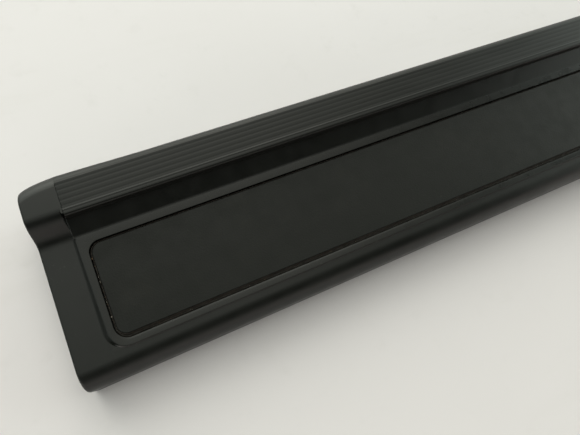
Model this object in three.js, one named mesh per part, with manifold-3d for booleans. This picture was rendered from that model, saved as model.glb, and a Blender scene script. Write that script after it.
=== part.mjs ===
// Door sill scuff plate: a moulded cover for the sill under a vehicle's door, with a ribbed strip along
// its raised inner rail, a tread inlay in a raised frame, and push-in clips underneath.
// Units are millimetres. X runs along the sill, +Y points into the vehicle, +Z is up.
// The origin is at the middle of the plate, on the plane of its lower rim.
import * as THREE from "three";
import { mergeVertices } from "three/addons/utils/BufferGeometryUtils.js";
import Module from "manifold-3d";

const wasm = await Module();
wasm.setup();

// ---- Overall sizes ----
const LENGTH = 480; // along the sill, end to end
const WIDTH = 82; // front edge to back edge
const TREAD_HEIGHT = 18; // tread face above the lower rim
const RAIL_RISE = 8; // rail top above the tread face
const WALL = 2.6; // skirt walls and rail walls
const FIT_GAP = 0.3; // clearance between pieces that lie against each other
const BOND_GAP = 0.05; // clearance across a glued face

// ---- Moulding outline ----
const NOSE_RADIUS = 7.5; // rounded front edge
const NOSE_CORNER_RADIUS = 1.6; // front corners, seen from above
const MIN_CORNER_RADIUS = 0.5; // same corners on the inside of the shell
const TAPER_LENGTH = 14.5; // back corners, seen from above
const TAPER_DEPTH = 3.7;
const LIP_WIDTH = 3.2; // rounded back edge of the rail
const LIP_DROP = 3.6;

// ---- Rail and its coves ----
const STRIP_WIDTH = 18.2; // ribbed strip, front to back
const STRIP_THICKNESS = 2.4; // strip top above its seat
const SKIRT_DEPTH = 1.4; // strip's front and back edges below its seat
const SKIRT_WALL = 1;
const STRIP_END_INSET = 14.2; // strip end from the plate end
const STRIP_GAP = 0.35; // seam round the strip
const SEAT_SKIN = 2; // rail wall under the strip
const COVE_RUN = 8.4; // deep cove in front of the strip, foot to wall
const COVE_SLOPE = 0.5; // rise per run of the deep cove's straight middle
const COVE_FOOT_BEND = 0.6; // half length of the bend at its foot
const COVE_WALL_BEND = 0.6; // same for the bend into the rail's wall
const END_COVE_RUN = 8.4; // soft cove at each end, foot to the strip's front line
const END_COVE_OVERRUN = 3.9; // how far the soft cove reaches behind that line

// ---- Tread frame and inlay ----
const FLANGE_LENGTH = 13.3; // flat flange at each end
const BORDER_WIDTH = 9.6; // front edge to the frame
const BAND_WIDTH = 3.7; // raised band of the frame
const BAND_RISE = 0.55;
const BAND_CHAMFER = 0.35;
const FRAME_RADIUS = 8; // outer front corners of the frame
const RECESS_DEPTH = 1.4; // inlay recess below the tread face
const RECESS_RADIUS = 5;
const RECESS_SKIN = 1.8; // floor left under the recess
const INLAY_GAP = 0.9; // open line round the inlay
const INLAY_THICKNESS = 1.2;
const ADHESIVE_THICKNESS = 0.4;
const ADHESIVE_INSET = 1.5; // film edge in from the inlay edge

// ---- Strip surface and snap legs ----
const GROOVE_COUNT = 5;
const GROOVE_PITCH = 2.23;
const GROOVE_WIDTH = 1.1;
const GROOVE_DEPTH = 0.3;
const GROOVE_FROM_LIP = 1.8; // first groove in front of the lip
const BEAD_DROP = 1.4; // rounded front edge of the strip
const SNAP_LENGTH = 12;
const SNAP_THICKNESS = 1.8;
const SNAP_HOOK = 0.8;
const SNAP_END_INSET = 12; // outer snap legs from the strip's ends

// ---- Underside ribs ----
const RIB_THICKNESS = 1.4;
const RIB_DEPTH = 3.6;
const RIB_FRONT_INSET = 19; // rib start from the front edge

// ---- Retaining clips and their towers ----
const CLIP_COUNT = 5;
const CLIP_END_INSET = 60; // outer clips from the plate ends
const CLIP_FROM_FRONT = 33.5; // clip row from the front edge
const CLIP_FLOAT = 1.5; // travel each way of a floating clip
const HEAD_RADIUS = 5.5;
const HEAD_THICKNESS = 1.4;
const NECK_RADIUS = 2.6;
const NECK_CLEARANCE = 0.25;
const COLLAR_RADIUS = 6;
const COLLAR_THICKNESS = 1;
const ROOT_RADIUS = 2.8;
const BARB_RADIUS = 4.2;
const BARB_RUN = 2.2; // root to widest part of the barb
const TIP_RADIUS = 1.8;
const TIP_HEIGHT = 0.8; // clip tip above the lower rim
const CLIP_SPLIT = 1.4; // slot between the clip's two legs
const TOWER_WALL = 1.6;
const PLATE_THICKNESS = 1.6;
const DETENT_RADIUS = 1.1;
const DETENT_REACH = 0.6; // how far each detent narrows the slot
const SEAL_RADIUS = 6.8;
const SEAL_THICKNESS = 1.6;
const SEAL_LAND_RADIUS = 4.8; // inside of the sealing ring, clear of the barbs
const SEAL_RELIEF = 0.3; // washer's inner part stands back from the ring

// ---- Foam tapes and felt pads under the tread ----
const TAPE_THICKNESS = 3;
const TAPE_WIDTH = 6;
const TAPE_END_INSET = 30;
const TAPE_FRONT_INSET = 9.5; // front tape from the front edge
const PAD_LENGTH = 22;
const PAD_WIDTH = 9;
const PAD_THICKNESS = 2.5;
const PAD_FROM_RIB = 15; // pad centre from its rib
const PAD_FROM_TAPE = 6.6; // pad edge in front of the rear tape

// ---- Places worked out from the sizes ----
const FRONT = -WIDTH / 2;
const BACK = WIDTH / 2;
const END = LENGTH / 2;
const TREAD = TREAD_HEIGHT;
const RAIL_TOP = TREAD + RAIL_RISE;
const CEILING = TREAD - RECESS_DEPTH - RECESS_SKIN; // underside of the tread
const STRIP_FRONT = BACK - STRIP_WIDTH;
const SEAT = RAIL_TOP - STRIP_THICKNESS;
const SKIRT_BASE = SEAT - SKIRT_DEPTH;
const RAIL_CEILING = SEAT - SEAT_SKIN;
const RAIL_FACE = STRIP_FRONT + SKIRT_WALL + FIT_GAP; // rail walls between the strip's edges
const RAIL_BACK = BACK - SKIRT_WALL - FIT_GAP;
const COVE_FOOT = RAIL_FACE - COVE_RUN;
const FRAME_END = END - FLANGE_LENGTH;
const FRAME_FRONT = FRONT + BORDER_WIDTH;
const FRAME_BACK = COVE_FOOT;
const STRIP_END = END - STRIP_END_INSET;
const FRONT_TAPE_FRONT = FRONT + TAPE_FRONT_INSET;
const REAR_TAPE_FRONT = RAIL_FACE - TAPE_WIDTH;
const PAD_Y = REAR_TAPE_FRONT - PAD_FROM_TAPE - PAD_WIDTH / 2;
const CLIP_Y = FRONT + CLIP_FROM_FRONT;
const CLIP_PITCH = (LENGTH - 2 * CLIP_END_INSET) / (CLIP_COUNT - 1);
const CLIP_X = Array.from({ length: CLIP_COUNT }, (_, i) => -END + CLIP_END_INSET + i * CLIP_PITCH);
const MIDDLE_CLIP = (CLIP_COUNT - 1) / 2;
const RIB_X = [CLIP_X[0] - CLIP_PITCH / 2, ...CLIP_X.map((x) => x + CLIP_PITCH / 2)].map((x) =>
  Math.max(-FRAME_END, Math.min(FRAME_END, x)),
);
const HEAD_TOP = CEILING - FIT_GAP;
const HEAD_BASE = HEAD_TOP - HEAD_THICKNESS;
const PLATE_TOP = HEAD_BASE - FIT_GAP;
const PLATE_BASE = PLATE_TOP - PLATE_THICKNESS;
const COLLAR_TOP = PLATE_BASE - FIT_GAP;
const COLLAR_BASE = COLLAR_TOP - COLLAR_THICKNESS;
const SEAL_TOP = COLLAR_BASE - FIT_GAP;
const SEAL_BASE = SEAL_TOP - SEAL_THICKNESS;

// ---- Geometry to solids and back ----
function solidOf(geometry) {
  const bare = geometry.clone();
  bare.deleteAttribute("normal");
  bare.deleteAttribute("uv");
  const merged = mergeVertices(bare, 1e-4);
  return new wasm.Manifold(
    new wasm.Mesh({
      numProp: 3,
      vertProperties: merged.attributes.position.array,
      triVerts: new Uint32Array(merged.index.array),
    }),
  );
}

function geometryOf(solid) {
  const mesh = solid.getMesh();
  const indexed = new THREE.BufferGeometry();
  indexed.setAttribute("position", new THREE.BufferAttribute(mesh.vertProperties, 3));
  indexed.setIndex(new THREE.BufferAttribute(mesh.triVerts, 1));
  const geometry = indexed.toNonIndexed();
  geometry.computeVertexNormals();
  return geometry;
}

// A shape drawn in the Y-Z plane, run along X from one station to another.
function alongX(shape, fromX, toX, curveSegments = 6) {
  const geometry = new THREE.ExtrudeGeometry(shape, {
    depth: toX - fromX,
    bevelEnabled: false,
    curveSegments,
  });
  const turn = new THREE.Matrix4().makeBasis(
    new THREE.Vector3(0, 1, 0),
    new THREE.Vector3(0, 0, 1),
    new THREE.Vector3(1, 0, 0),
  );
  return solidOf(geometry.applyMatrix4(turn).translate(fromX, 0, 0));
}

// A shape drawn in the X-Y plane, run up from one height to another.
function upright(shape, fromZ, toZ, curveSegments = 5) {
  const geometry = new THREE.ExtrudeGeometry(shape, {
    depth: toZ - fromZ,
    bevelEnabled: false,
    curveSegments,
  });
  return solidOf(geometry.translate(0, 0, fromZ));
}

// The same with its upper and lower edges chamfered.
function uprightChamfered(shape, fromZ, toZ, chamfer, curveSegments = 5) {
  const geometry = new THREE.ExtrudeGeometry(shape, {
    depth: toZ - fromZ - 2 * chamfer,
    bevelEnabled: true,
    bevelSegments: 1,
    bevelThickness: chamfer,
    bevelSize: chamfer,
    bevelOffset: -chamfer,
    curveSegments,
  });
  return solidOf(geometry.translate(0, 0, fromZ + chamfer));
}

function block(fromX, toX, fromY, toY, fromZ, toZ) {
  const geometry = new THREE.BoxGeometry(toX - fromX, toY - fromY, toZ - fromZ);
  return solidOf(geometry.translate((fromX + toX) / 2, (fromY + toY) / 2, (fromZ + toZ) / 2));
}

function disc(x, y, radius, fromZ, toZ, sides = 16) {
  const geometry = new THREE.CylinderGeometry(radius, radius, toZ - fromZ, sides);
  return solidOf(geometry.rotateX(Math.PI / 2).translate(x, y, (fromZ + toZ) / 2));
}

// A rectangle seen from above, with one radius on its front corners and one on its back corners.
function roundedRectangle(halfLength, front, back, frontRadius, backRadius) {
  const s = new THREE.Shape();
  s.moveTo(-halfLength + frontRadius, front);
  s.lineTo(halfLength - frontRadius, front);
  s.absarc(halfLength - frontRadius, front + frontRadius, frontRadius, -Math.PI / 2, 0, false);
  s.lineTo(halfLength, back - backRadius);
  if (backRadius > 0) {
    s.absarc(halfLength - backRadius, back - backRadius, backRadius, 0, Math.PI / 2, false);
    s.lineTo(-halfLength + backRadius, back);
    s.absarc(-halfLength + backRadius, back - backRadius, backRadius, Math.PI / 2, Math.PI, false);
  } else {
    s.lineTo(-halfLength, back);
  }
  s.lineTo(-halfLength, front + frontRadius);
  s.absarc(-halfLength + frontRadius, front + frontRadius, frontRadius, Math.PI, 1.5 * Math.PI, false);
  return s;
}

// ---- Moulding ----

// Plan of the whole plate: round front corners, tapered back corners.
function plateOutline(inset = 0) {
  const front = FRONT + inset;
  const back = BACK - inset;
  const end = END - inset;
  const radius = Math.max(NOSE_CORNER_RADIUS - inset, MIN_CORNER_RADIUS);
  const s = new THREE.Shape();
  s.moveTo(-end + radius, front);
  s.lineTo(end - radius, front);
  s.absarc(end - radius, front + radius, radius, -Math.PI / 2, 0, false);
  s.lineTo(end, back - TAPER_DEPTH);
  s.quadraticCurveTo(end - TAPER_LENGTH / 12, back - TAPER_DEPTH / 5, end - TAPER_LENGTH, back);
  s.lineTo(-end + TAPER_LENGTH, back);
  s.quadraticCurveTo(-end + TAPER_LENGTH / 12, back - TAPER_DEPTH / 5, -end, back - TAPER_DEPTH);
  s.lineTo(-end, front + radius);
  s.absarc(-end + radius, front + radius, radius, Math.PI, 1.5 * Math.PI, false);
  return s;
}

// Outer cross-section; drawCove takes the line from the tread face to the rail top.
function section(drawCove) {
  const s = new THREE.Shape();
  s.moveTo(FRONT, 0);
  s.lineTo(FRONT, TREAD - NOSE_RADIUS);
  s.absarc(FRONT + NOSE_RADIUS, TREAD - NOSE_RADIUS, NOSE_RADIUS, Math.PI, Math.PI / 2, true);
  drawCove(s);
  drawLip(s);
  s.lineTo(BACK, 0);
  return s;
}

// Rounded back edge of the rail, from the rail top to the back wall.
function drawLip(s) {
  s.lineTo(BACK - LIP_WIDTH, RAIL_TOP);
  s.quadraticCurveTo(BACK - LIP_WIDTH / 4, RAIL_TOP - LIP_DROP / 4, BACK, RAIL_TOP - LIP_DROP);
}

function deepCove(s) {
  s.lineTo(COVE_FOOT, TREAD);
  const footRise = COVE_FOOT_BEND * COVE_SLOPE;
  s.quadraticCurveTo(
    COVE_FOOT + COVE_FOOT_BEND, TREAD, COVE_FOOT + 2 * COVE_FOOT_BEND, TREAD + footRise,
  );
  const rise = (COVE_RUN - COVE_FOOT_BEND) * COVE_SLOPE;
  s.lineTo(RAIL_FACE - COVE_WALL_BEND, TREAD + rise - COVE_WALL_BEND * COVE_SLOPE);
  s.quadraticCurveTo(RAIL_FACE, TREAD + rise, RAIL_FACE, TREAD + rise + COVE_WALL_BEND);
  s.lineTo(RAIL_FACE, RAIL_TOP);
}

function softCove(s) {
  const foot = STRIP_FRONT - END_COVE_RUN;
  const top = STRIP_FRONT + END_COVE_OVERRUN;
  const run = (top - foot) / 2;
  s.lineTo(foot, TREAD);
  s.bezierCurveTo(foot + run, TREAD, top - run, RAIL_TOP, top, RAIL_TOP);
}

// Inside of the shell, under the tread and up into the rail.
function cavitySection() {
  const chamfer = NOSE_RADIUS / 3;
  const s = new THREE.Shape();
  s.moveTo(FRONT + WALL, -1);
  s.lineTo(FRONT + WALL, CEILING - chamfer);
  s.lineTo(FRONT + WALL + chamfer, CEILING);
  s.lineTo(RAIL_FACE + WALL, CEILING);
  s.lineTo(RAIL_FACE + WALL, RAIL_CEILING);
  s.lineTo(BACK - WALL, RAIL_CEILING);
  s.lineTo(BACK - WALL, -1);
  return s;
}

// Tower that holds one clip head, built round the origin with its open end towards +X.
function clipTower(travel) {
  const side = HEAD_RADIUS + FIT_GAP;
  const shut = -(HEAD_RADIUS + travel + FIT_GAP);
  const open = HEAD_RADIUS + travel + FIT_GAP;
  const slot = NECK_RADIUS + NECK_CLEARANCE;
  const root = CEILING + RECESS_SKIN / 2;
  const body = block(shut - TOWER_WALL, open, -side - TOWER_WALL, side + TOWER_WALL, PLATE_BASE, root);
  const pocket = block(shut, open + 1, -side, side, PLATE_TOP, CEILING);
  const slotEnd = disc(-travel, 0, slot, PLATE_BASE - 1, CEILING);
  const slotRun = block(-travel, open + 1, -slot, slot, PLATE_BASE - 1, CEILING);
  const detentX = travel + NECK_RADIUS + FIT_GAP + DETENT_RADIUS;
  const detentY = slot - DETENT_REACH + DETENT_RADIUS;
  const detents = [-detentY, detentY].map((y) =>
    disc(detentX, y, DETENT_RADIUS, PLATE_BASE, PLATE_TOP, 10),
  );
  return body.subtract(pocket).subtract(slotEnd).subtract(slotRun).add(detents[0]).add(detents[1]);
}

// Each outer tower opens towards its own end of the plate; the middle one opens to the front.
function placedTower(index) {
  const middle = index === MIDDLE_CLIP;
  const tower = clipTower(middle ? 0 : CLIP_FLOAT);
  const turn = middle ? -90 : index < MIDDLE_CLIP ? 180 : 0;
  return tower.rotate([0, 0, turn]).translate([CLIP_X[index], CLIP_Y, 0]);
}

// The strip has a snap leg above each clip and one near each of its ends.
const SNAP_X = [SNAP_END_INSET - STRIP_END, ...CLIP_X, STRIP_END - SNAP_END_INSET];
const SNAP_Y = (RAIL_FACE + RAIL_BACK) / 2;

function sillMoulding() {
  let shell = alongX(section(deepCove), -END, END);
  shell = shell.add(alongX(section(softCove), -END, -FRAME_END));
  shell = shell.add(alongX(section(softCove), FRAME_END, END));
  const frame = roundedRectangle(FRAME_END, FRAME_FRONT, FRAME_BACK, FRAME_RADIUS, 0);
  shell = shell.add(uprightChamfered(frame, CEILING + 1, TREAD + BAND_RISE, BAND_CHAMFER));
  shell = shell.intersect(upright(plateOutline(), -1, RAIL_TOP + 1));
  const cavity = alongX(cavitySection(), -END, END);
  shell = shell.subtract(cavity.intersect(upright(plateOutline(WALL), -2, RAIL_TOP)));
  const recess = roundedRectangle(
    FRAME_END - BAND_WIDTH,
    FRAME_FRONT + BAND_WIDTH,
    FRAME_BACK - BAND_WIDTH,
    RECESS_RADIUS,
    RECESS_RADIUS,
  );
  shell = shell.subtract(upright(recess, TREAD - RECESS_DEPTH, RAIL_TOP));
  shell = shell.subtract(block(-STRIP_END, STRIP_END, COVE_FOOT, BACK + 1, SEAT, RAIL_TOP + 1));
  shell = shell.subtract(block(-STRIP_END, STRIP_END, RAIL_BACK, BACK + 1, SKIRT_BASE - FIT_GAP, SEAT + 1));
  for (const x of SNAP_X) {
    const halfLength = SNAP_LENGTH / 2 + FIT_GAP;
    const halfWidth = SNAP_THICKNESS / 2 + FIT_GAP;
    const front = SNAP_Y - halfWidth - SNAP_HOOK;
    shell = shell.subtract(block(x - halfLength, x + halfLength, front, SNAP_Y + halfWidth, TREAD, RAIL_TOP));
  }
  for (const x of RIB_X) {
    const left = x - RIB_THICKNESS / 2;
    const right = x + RIB_THICKNESS / 2;
    const base = CEILING - RIB_DEPTH;
    const treadEnd = REAR_TAPE_FRONT - 2 * FIT_GAP;
    shell = shell.add(block(left, right, FRONT + RIB_FRONT_INSET, treadEnd, base, CEILING + 1));
    const railEnd = RAIL_BACK - SKIRT_WALL / 2;
    shell = shell.add(block(left, right, RAIL_FACE + WALL / 2, railEnd, base, RAIL_CEILING + 1));
  }
  CLIP_X.forEach((_, index) => {
    shell = shell.add(placedTower(index));
  });
  return shell;
}

// ---- Ribbed strip ----

// Cross-section: back skirt and lip, grooved top, rounded front bead and front skirt.
function stripSection() {
  const base = SEAT + FIT_GAP;
  const s = new THREE.Shape();
  s.moveTo(RAIL_BACK + FIT_GAP, base);
  s.lineTo(RAIL_BACK + FIT_GAP, SKIRT_BASE);
  s.lineTo(BACK, SKIRT_BASE);
  s.lineTo(BACK, RAIL_TOP - LIP_DROP);
  s.quadraticCurveTo(BACK - LIP_WIDTH / 4, RAIL_TOP - LIP_DROP / 4, BACK - LIP_WIDTH, RAIL_TOP);
  for (let i = 0; i < GROOVE_COUNT; i += 1) {
    const y = BACK - LIP_WIDTH - GROOVE_FROM_LIP - i * GROOVE_PITCH;
    s.lineTo(y + GROOVE_WIDTH / 2, RAIL_TOP);
    s.lineTo(y, RAIL_TOP - GROOVE_DEPTH);
    s.lineTo(y - GROOVE_WIDTH / 2, RAIL_TOP);
  }
  s.lineTo(STRIP_FRONT + BEAD_DROP, RAIL_TOP);
  s.absarc(STRIP_FRONT + BEAD_DROP, RAIL_TOP - BEAD_DROP, BEAD_DROP, Math.PI / 2, Math.PI, false);
  s.lineTo(STRIP_FRONT, SKIRT_BASE);
  s.lineTo(RAIL_FACE - FIT_GAP, SKIRT_BASE);
  s.lineTo(RAIL_FACE - FIT_GAP, base);
  return s;
}

// Leg under the strip, with a hook that catches the front edge of its slot in the rail.
function snapLegSection() {
  const front = SNAP_Y - SNAP_THICKNESS / 2;
  const back = SNAP_Y + SNAP_THICKNESS / 2;
  const catchFace = RAIL_CEILING - FIT_GAP;
  const s = new THREE.Shape();
  s.moveTo(back, SEAT + STRIP_THICKNESS / 2);
  s.lineTo(front, SEAT + STRIP_THICKNESS / 2);
  s.lineTo(front, catchFace);
  s.lineTo(front - 2 * SNAP_HOOK, catchFace);
  s.lineTo(front, catchFace - 2.5 * SNAP_HOOK);
  s.lineTo(back, catchFace - 2.5 * SNAP_HOOK);
  return s;
}

function ribbedStrip() {
  const end = STRIP_END - STRIP_GAP;
  let strip = alongX(stripSection(), -end, end, 4);
  for (const x of SNAP_X) {
    strip = strip.add(alongX(snapLegSection(), x - SNAP_LENGTH / 2, x + SNAP_LENGTH / 2));
  }
  return strip;
}

// ---- Inlay and its adhesive film ----
function inlayShape(inset) {
  return roundedRectangle(
    FRAME_END - BAND_WIDTH - inset,
    FRAME_FRONT + BAND_WIDTH + inset,
    FRAME_BACK - BAND_WIDTH - inset,
    RECESS_RADIUS - inset,
    RECESS_RADIUS - inset,
  );
}

const FILM_BASE = TREAD - RECESS_DEPTH + BOND_GAP;
const INLAY_BASE = FILM_BASE + ADHESIVE_THICKNESS + BOND_GAP;

function inlayPlate() {
  const top = INLAY_BASE + INLAY_THICKNESS;
  return uprightChamfered(inlayShape(INLAY_GAP), INLAY_BASE, top, BAND_CHAMFER / 2);
}

function inlayAdhesive() {
  const shape = inlayShape(INLAY_GAP + ADHESIVE_INSET);
  return upright(shape, FILM_BASE, FILM_BASE + ADHESIVE_THICKNESS);
}

// ---- Clips and seals ----

// Turned outline of a clip round Z: head, neck, collar, root, barb and tip.
function clipSolid() {
  const outline = [
    [0, TIP_HEIGHT],
    [TIP_RADIUS, TIP_HEIGHT],
    [BARB_RADIUS, SEAL_BASE - BARB_RUN],
    [ROOT_RADIUS, SEAL_BASE],
    [ROOT_RADIUS, COLLAR_BASE],
    [COLLAR_RADIUS, COLLAR_BASE],
    [COLLAR_RADIUS, COLLAR_TOP],
    [NECK_RADIUS, COLLAR_TOP],
    [NECK_RADIUS, HEAD_BASE],
    [HEAD_RADIUS, HEAD_BASE],
    [HEAD_RADIUS, HEAD_TOP],
    [0, HEAD_TOP],
  ];
  const turned = solidOf(turnedAboutZ(outline));
  const half = CLIP_SPLIT / 2;
  const reach = BARB_RADIUS + 1;
  return turned.subtract(block(-half, half, -reach, reach, -1, SEAL_BASE));
}

function turnedAboutZ(outline, sides = 16) {
  const points = outline.map(([radius, height]) => new THREE.Vector2(radius, height));
  return new THREE.LatheGeometry(points, sides).rotateX(Math.PI / 2);
}

function sealSolid() {
  const bore = ROOT_RADIUS + FIT_GAP;
  const outline = [
    [bore, SEAL_TOP],
    [bore, SEAL_BASE + SEAL_RELIEF],
    [SEAL_LAND_RADIUS, SEAL_BASE + SEAL_RELIEF],
    [SEAL_LAND_RADIUS, SEAL_BASE],
    [SEAL_RADIUS, SEAL_BASE],
    [SEAL_RADIUS, SEAL_TOP],
    [bore, SEAL_TOP],
  ];
  return solidOf(turnedAboutZ(outline));
}

// ---- Tapes and pads, glued to the underside of the tread ----
function tape(front) {
  const top = CEILING - BOND_GAP;
  const end = END - TAPE_END_INSET;
  return block(-end, end, front, front + TAPE_WIDTH, top - TAPE_THICKNESS, top);
}

function feltPad() {
  const top = CEILING - BOND_GAP;
  const shape = roundedRectangle(PAD_LENGTH / 2, -PAD_WIDTH / 2, PAD_WIDTH / 2, 1.5, 1.5);
  return upright(shape, top - PAD_THICKNESS, top, 2);
}

// ---- Materials ----
function finish(color, roughness) {
  return new THREE.MeshStandardMaterial({ color, roughness, metalness: 0 });
}

// ---- Assembly ----
const plate = new THREE.Group();

function place(name, solid, material, x = 0, y = 0) {
  const mesh = new THREE.Mesh(geometryOf(solid), material);
  mesh.name = name;
  mesh.position.set(x, y, 0);
  plate.add(mesh);
  return mesh;
}

place("sill_moulding", sillMoulding(), finish(0x2b2e2b, 0.42));
place("ribbed_strip", ribbedStrip(), finish(0x2d302d, 0.38));
place("inlay_plate", inlayPlate(), finish(0x232522, 0.7));
place("inlay_adhesive", inlayAdhesive(), finish(0x4a4034, 0.8));
place("front_foam_tape", tape(FRONT_TAPE_FRONT), finish(0x3a3a3a, 0.95));
place("rear_foam_tape", tape(REAR_TAPE_FRONT), finish(0x3a3a3a, 0.95));

CLIP_X.forEach((x, index) => {
  const clip = index === MIDDLE_CLIP ? "locating_clip" : "retaining_clip_" + (index + 1);
  place(clip, clipSolid(), finish(0xe6e3d8, 0.5), x, CLIP_Y);
  place("clip_seal_" + (index + 1), sealSolid(), finish(0x303236, 0.95), x, CLIP_Y);
});

RIB_X.slice(1, -1).forEach((x, index) => {
  const towardsEnd = Math.sign(x) * PAD_FROM_RIB;
  place("felt_pad_" + (index + 1), feltPad(), finish(0x4b4b4e, 1), x + towardsEnd, PAD_Y);
});

export default plate;
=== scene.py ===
"""Looks of the door sill scuff plate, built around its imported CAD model.

Sizes are in millimetres while a mesh is made, and the mesh is scaled to metres at the end.
X runs along the sill, +Y into the vehicle, +Z up, as in the CAD.
"""

import math
import random

import bmesh
import bpy
from mathutils import Matrix, Vector


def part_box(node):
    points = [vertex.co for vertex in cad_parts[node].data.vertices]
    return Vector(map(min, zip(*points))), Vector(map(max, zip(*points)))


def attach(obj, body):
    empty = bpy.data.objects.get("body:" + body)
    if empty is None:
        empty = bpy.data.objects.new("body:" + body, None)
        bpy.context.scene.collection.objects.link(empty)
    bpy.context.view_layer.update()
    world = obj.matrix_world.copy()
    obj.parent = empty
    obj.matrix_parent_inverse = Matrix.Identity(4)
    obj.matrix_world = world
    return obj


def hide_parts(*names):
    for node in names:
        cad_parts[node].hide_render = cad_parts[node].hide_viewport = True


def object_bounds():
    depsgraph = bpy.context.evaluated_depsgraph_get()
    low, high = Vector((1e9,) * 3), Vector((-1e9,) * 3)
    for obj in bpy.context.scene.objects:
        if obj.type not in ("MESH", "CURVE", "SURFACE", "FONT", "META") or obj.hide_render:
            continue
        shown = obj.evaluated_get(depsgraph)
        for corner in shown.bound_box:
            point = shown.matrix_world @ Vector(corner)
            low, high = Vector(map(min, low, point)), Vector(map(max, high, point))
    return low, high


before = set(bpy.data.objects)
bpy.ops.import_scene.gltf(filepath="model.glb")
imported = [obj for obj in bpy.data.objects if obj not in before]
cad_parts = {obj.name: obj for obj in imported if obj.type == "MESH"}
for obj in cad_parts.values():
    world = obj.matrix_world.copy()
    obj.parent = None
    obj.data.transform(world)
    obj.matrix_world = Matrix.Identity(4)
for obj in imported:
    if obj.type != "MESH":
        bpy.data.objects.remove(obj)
cad_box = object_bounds()

MM = 0.001
SEED = 11
TAPE_SEED = SEED + 20
PAD_SEED = SEED + 40


def mm_box(node):
    """Lowest and highest corner of a CAD node, in millimetres."""
    lo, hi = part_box(node)
    return lo / MM, hi / MM


# ---- Sizes read from the frame ----
sill_lo, sill_hi = mm_box("sill_moulding")
strip_lo, strip_hi = mm_box("ribbed_strip")
inlay_lo, inlay_hi = mm_box("inlay_plate")
film_lo, film_hi = mm_box("inlay_adhesive")
_, tape_hi = mm_box("front_foam_tape")
rear_tape_lo, _ = mm_box("rear_foam_tape")

# ---- Sizes shared with the CAD source ----
BOND_GAP = 0.05
FIT_GAP = 0.3
WALL = 2.6
NOSE_RADIUS = 7.5
CORNER_RADIUS = 1.6
TAPER_LENGTH = 14.5
TAPER_DEPTH = 3.7
LIP_WIDTH = 3.2
LIP_DROP = 3.6
SKIRT_DEPTH = 1.4
SKIRT_WALL = 1.0
STRIP_THICKNESS = 2.4
STRIP_GAP = 0.35
SEAT_SKIN = 2.0
COVE_RUN = 8.4
COVE_SLOPE = 0.5
COVE_FOOT_BEND = 0.6
COVE_WALL_BEND = 0.6
END_COVE_RUN = 8.4
END_COVE_OVERRUN = 3.9
BAND_WIDTH = 3.7
BAND_RISE = 0.55
FRAME_RADIUS = 8.0
RECESS_DEPTH = 1.4
RECESS_RADIUS = 5.0
INLAY_GAP = 0.9
GROOVE_COUNT = 5
GROOVE_PITCH = 2.23
GROOVE_FROM_LIP = 1.8
SNAP_LENGTH = 12.0
SNAP_THICKNESS = 1.8
SNAP_HOOK = 0.8
SNAP_END_INSET = 12.0
RIB_THICKNESS = 1.4
RIB_DEPTH = 3.6
RIB_FRONT_INSET = 19.0
RIB_EDGE = 0.25
CLIP_FLOAT = 1.5
TOWER_WALL = 1.6
DETENT_RADIUS = 1.1
DETENT_REACH = 0.6
NECK_CLEARANCE = 0.25

# ---- Places worked out from both ----
FRONT, BACK, END = sill_lo.y, strip_hi.y, sill_hi.x
RAIL_TOP = sill_hi.z
TREAD = film_lo.z - BOND_GAP + RECESS_DEPTH
CEILING = tape_hi.z + BOND_GAP
STRIP_FRONT = strip_lo.y
STRIP_HALF = strip_hi.x
POCKET_HALF = STRIP_HALF + STRIP_GAP
SEAT = RAIL_TOP - STRIP_THICKNESS
SKIRT_BASE = SEAT - SKIRT_DEPTH
RAIL_CEILING = SEAT - SEAT_SKIN
RAIL_FACE = STRIP_FRONT + SKIRT_WALL + FIT_GAP
RAIL_BACK = BACK - SKIRT_WALL - FIT_GAP
COVE_FOOT = RAIL_FACE - COVE_RUN
RECESS_HALF = inlay_hi.x + INLAY_GAP
RECESS_FRONT = inlay_lo.y - INLAY_GAP
RECESS_BACK = inlay_hi.y + INLAY_GAP
FRAME_END = RECESS_HALF + BAND_WIDTH
FRAME_FRONT = RECESS_FRONT - BAND_WIDTH
FRAME_BACK = RECESS_BACK + BAND_WIDTH
FLOOR_OF_RECESS = TREAD - RECESS_DEPTH

CLIPS = [
    ("retaining_clip_1", "clip_seal_1", "clip_1"),
    ("retaining_clip_2", "clip_seal_2", "clip_2"),
    ("locating_clip", "clip_seal_3", "plate"),
    ("retaining_clip_4", "clip_seal_4", "clip_4"),
    ("retaining_clip_5", "clip_seal_5", "clip_5"),
]
CLIP_X = [(mm_box(c)[0].x + mm_box(c)[1].x) / 2 for c, _, _ in CLIPS]
CLIP_Y = (mm_box("locating_clip")[0].y + mm_box("locating_clip")[1].y) / 2
SNAP_X = [SNAP_END_INSET - POCKET_HALF, *CLIP_X, POCKET_HALF - SNAP_END_INSET]
SNAP_Y = (RAIL_FACE + RAIL_BACK) / 2
CLIP_PITCH = CLIP_X[1] - CLIP_X[0]
RIB_X = [
    max(-FRAME_END, min(FRAME_END, CLIP_X[0] + (i - 0.5) * CLIP_PITCH))
    for i in range(len(CLIP_X) + 1)
]

# ---- Finer shapes that only the visual has, fitted to the photograph's highlights ----
END_ROUND = 0.8
RIDGE_ROUND = 0.5
RIDGE_FILLET = 0.5
BLOCK_SET_DOWN = 0.05
SEAM_ROUND = 0.3
BLOCK_SET_IN = 0.05
BLOCK_LIP_SHARE = 1.7
END_LIP_LIFT = 1.1
END_LIP_RUN = 45.0
BAND_EDGE = 0.3
BAND_CROWN = 0.06
GROOVE_DEPTH = 0.045
RIB_SET_DOWN = 0.15
LIP_STEP = 0.14
LIP_STEP_RUN = 0.5
BEAD_CREST = 2.5
BEAD_VALLEY = 2.0
BEAD_SHOULDER = 1.15
BEAD_DIP = 0.06
BEAD_FALL = 1.4
SEAM = 0.005


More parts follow.
